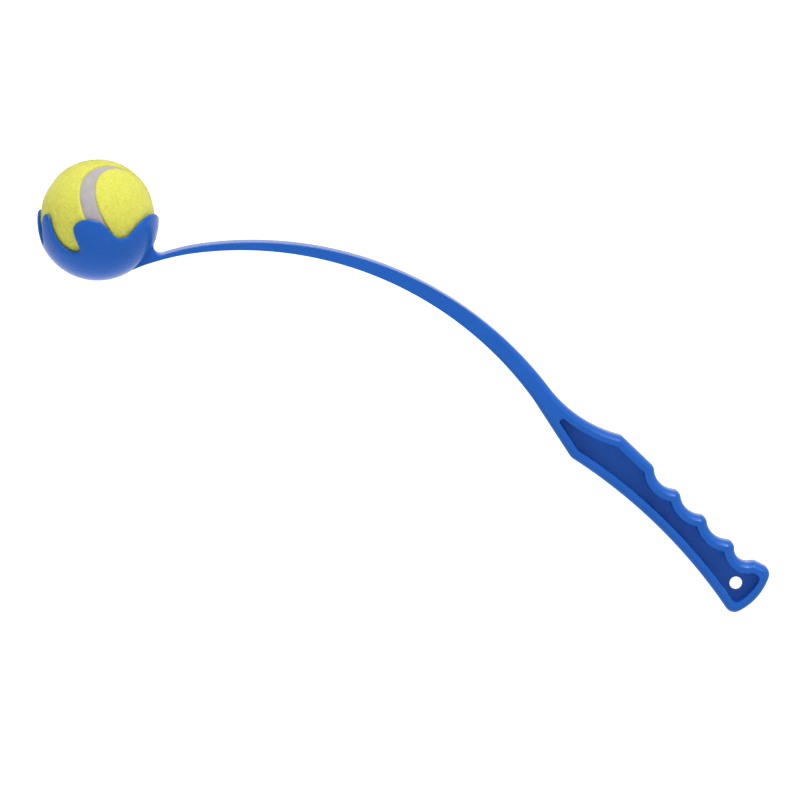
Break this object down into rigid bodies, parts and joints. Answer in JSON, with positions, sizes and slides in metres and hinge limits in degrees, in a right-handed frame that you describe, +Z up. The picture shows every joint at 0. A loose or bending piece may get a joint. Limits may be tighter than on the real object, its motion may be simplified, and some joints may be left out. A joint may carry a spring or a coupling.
{
  "type": "tennis ball launcher",
  "caption": "Hand-held dog ball launcher: a curved springy arm with a petalled cup that holds a tennis ball, and a rimmed grip with finger hollows and a hang hole.",
  "frame": {"origin": "centre of the hang hole in the grip, on the launcher's middle plane", "axes": "+X from the cup towards the grip's end, +Y across the launcher along the hang hole, +Z up, out of the cup's mouth"},
  "size_m": [0.4202, 0.0703, 0.2626],
  "materials": {
    "moulding": "satin moulded plastic, cobalt blue",
    "core_rubber": "matt moulded rubber, dark grey",
    "felt": "napped felt, yellow-green",
    "seam_rubber": "matt rubber, light grey"
  },
  "bodies": {
    "launcher": {"handle": "moulding", "arm": "moulding"},
    "head": {"arm_tip": "moulding", "cup": "moulding"},
    "ball": {"core_half_a": "core_rubber", "core_half_b": "core_rubber", "felt_panel_a": "felt", "felt_panel_b": "felt", "seam_strip": "seam_rubber"}
  },
  "joints": [
    {"name": "arm_flex", "type": "hinge", "parent": "launcher", "child": "head", "pos_m": [-0.26153, 0, 0.1961], "axis": [0, 1, 0], "range_deg": [-10, 10], "stiffness_Nm_per_rad": 4},
    {"name": "ball_release", "type": "slide", "parent": "head", "child": "ball", "axis": [0, 0, 1], "range_m": [0, 0.06]}
  ]
}
